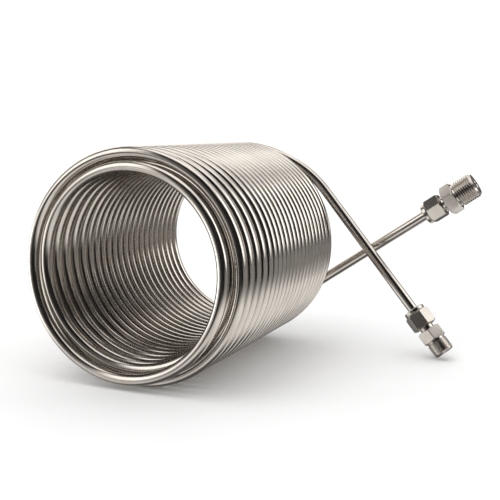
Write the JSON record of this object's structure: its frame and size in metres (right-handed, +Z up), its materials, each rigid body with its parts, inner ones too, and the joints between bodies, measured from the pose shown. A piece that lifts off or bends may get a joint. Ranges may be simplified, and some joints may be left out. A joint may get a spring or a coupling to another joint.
{
  "type": "immersion wort chiller",
  "caption": "Layered, close-wound stainless tube coil, open through the middle, whose straight legs cross at the rear and end in compression fittings with male pipe threads.",
  "frame": {"origin": "centre of the bottom of the box round the chiller as it lies on its side", "axes": "+Y along the coil's axis, from its open front end towards the end that the legs leave; +X towards the side that the legs reach out to; +Z up"},
  "size_m": [0.2866, 0.2174, 0.168],
  "materials": {
    "coil_tube": "satin drawn stainless tube",
    "machined_fitting": "machined stainless steel, lightly tumbled",
    "ferrule": "turned stainless steel"
  },
  "bodies": {
    "coil": {"tube_inner_coil": "coil_tube", "tube_crossover": "coil_tube", "tube_outer_coil": "coil_tube", "tube_large_leg": "coil_tube", "tube_small_leg": "coil_tube", "large_fitting_connector": "machined_fitting", "small_fitting_connector": "machined_fitting"},
    "large_ferrules": {"large_fitting_front_ferrule": "ferrule", "large_fitting_back_ferrule": "ferrule"},
    "large_nut": {"large_fitting_nut": "machined_fitting"},
    "small_ferrules": {"small_fitting_front_ferrule": "ferrule", "small_fitting_back_ferrule": "ferrule"},
    "small_nut": {"small_fitting_nut": "machined_fitting"}
  },
  "joints": [
    {"name": "large_nut_back_off", "type": "slide", "parent": "coil", "child": "large_ferrules", "axis": [-0.8295, 0, -0.5585], "range_m": [0, 0.00636]},
    {"name": "large_nut_turn", "type": "hinge", "parent": "large_ferrules", "child": "large_nut", "pos_m": [0.09958, 0.09666, 0.10982], "axis": [-0.8295, 0, -0.5585], "range_deg": [0, 1800]},
    {"name": "small_nut_back_off", "type": "slide", "parent": "coil", "child": "small_ferrules", "axis": [-0.6526, 0.1386, 0.7449], "range_m": [0, 0.00636]},
    {"name": "small_nut_turn", "type": "hinge", "parent": "small_ferrules", "child": "small_nut", "pos_m": [0.09727, 0.07011, 0.03642], "axis": [-0.6526, 0.1386, 0.7449], "range_deg": [0, 1800]}
  ],
  "couplings": [
    {"joint": "large_nut_back_off", "follows": "large_nut_turn", "m_per_rad": 0.00020213},
    {"joint": "small_nut_back_off", "follows": "small_nut_turn", "m_per_rad": 0.00020213}
  ]
}
